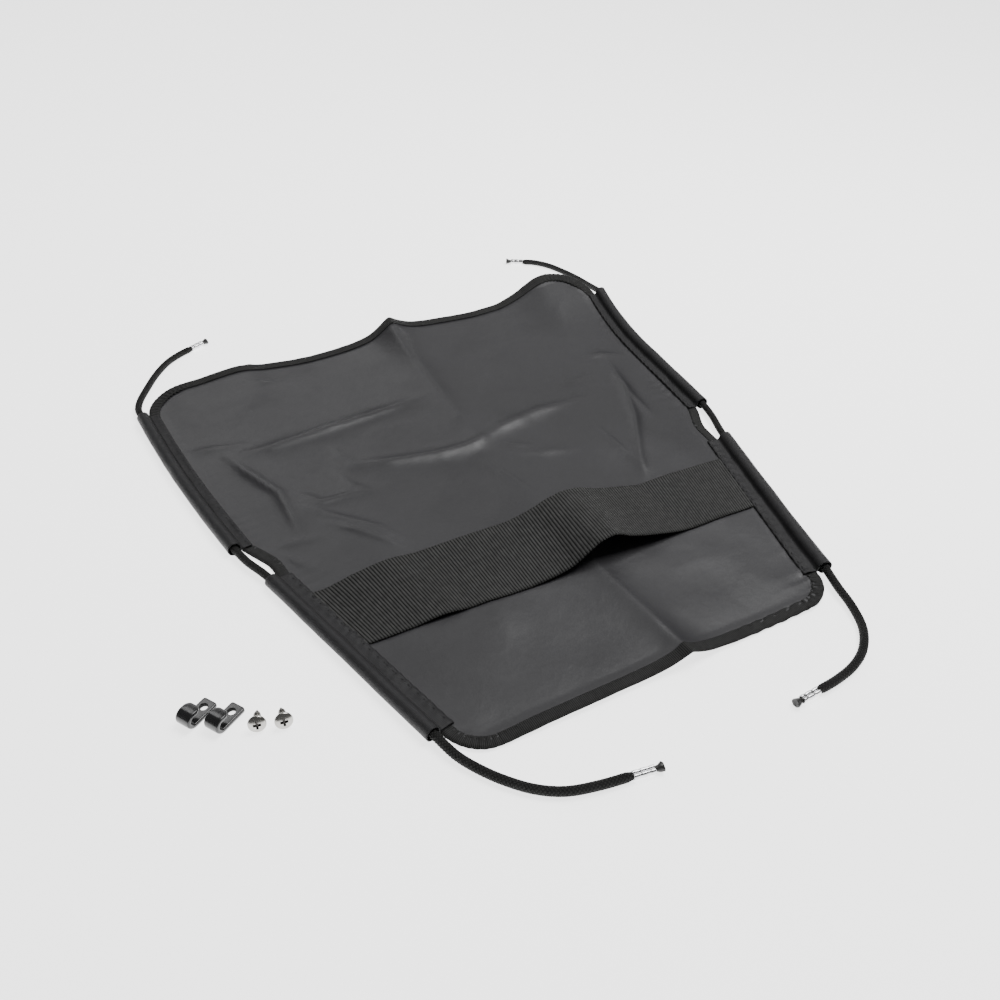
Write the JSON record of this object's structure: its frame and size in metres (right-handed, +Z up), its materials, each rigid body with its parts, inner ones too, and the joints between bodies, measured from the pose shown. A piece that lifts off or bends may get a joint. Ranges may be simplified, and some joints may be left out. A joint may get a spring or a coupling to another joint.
{
  "type": "windshield screen",
  "caption": "Soft fabric wind screen for a motorcycle: bound panel with cord sleeves down both sides, elastic cords with ferrules, a wide strap, and loose hooks with screws.",
  "frame": {"origin": "on the underside of the panel, on its centre line, under the middle of the strap", "axes": "+Z up out of the face that carries the strap; +Y from the strap towards the wide top edge; +X to the right"},
  "size_m": [0.5518, 0.6799, 0.0261],
  "materials": {
    "panel": "coated woven fabric, satin, creased",
    "binding_tape": "ribbed grosgrain tape, matt",
    "sleeve_fabric": "fine ribbed woven fabric, matt",
    "webbing": "coarse ribbed webbing, matt",
    "cord": "braided jacket over elastic core",
    "ferrule": "bright plated strip",
    "hook": "gloss black coating",
    "screw": "bright stainless"
  },
  "bodies": {
    "lower_screen": {"panel_lower": "panel", "binding_lower": "binding_tape", "sleeve_lower_left": "sleeve_fabric", "sleeve_lower_right": "sleeve_fabric", "strap": "webbing", "cord_left_lower": "cord", "cord_left_bottom_end": "cord", "ferrule_left_bottom": "ferrule", "cord_tip_left_bottom": "cord", "cord_right_lower": "cord", "cord_right_bottom_end": "cord", "ferrule_right_bottom": "ferrule", "cord_tip_right_bottom": "cord"},
    "upper_screen": {"panel_upper": "panel", "binding_upper": "binding_tape", "sleeve_upper_left": "sleeve_fabric", "sleeve_upper_right": "sleeve_fabric", "cord_left_upper": "cord", "cord_left_top_end": "cord", "ferrule_left_top": "ferrule", "cord_tip_left_top": "cord", "cord_right_upper": "cord", "cord_right_top_end": "cord", "ferrule_right_top": "ferrule", "cord_tip_right_top": "cord"},
    "hook_1": {"hook_1": "hook"},
    "hook_2": {"hook_2": "hook"},
    "screw_1": {"screw_1": "screw"},
    "screw_2": {"screw_2": "screw"}
  },
  "joints": [
    {"name": "panel_fold", "type": "hinge", "parent": "lower_screen", "child": "upper_screen", "pos_m": [0, 0.08, 0.0036], "axis": [1, 0, 0], "range_deg": [0, 110]},
    {"name": "hook_1_lift", "type": "slide", "parent": "lower_screen", "child": "hook_1", "axis": [0, 0, 1], "range_m": [0, 0.05]},
    {"name": "hook_2_lift", "type": "slide", "parent": "lower_screen", "child": "hook_2", "axis": [0, 0, 1], "range_m": [0, 0.05]},
    {"name": "screw_1_lift", "type": "slide", "parent": "lower_screen", "child": "screw_1", "axis": [0, 0, 1], "range_m": [0, 0.05]},
    {"name": "screw_2_lift", "type": "slide", "parent": "lower_screen", "child": "screw_2", "axis": [0, 0, 1], "range_m": [0, 0.05]}
  ]
}
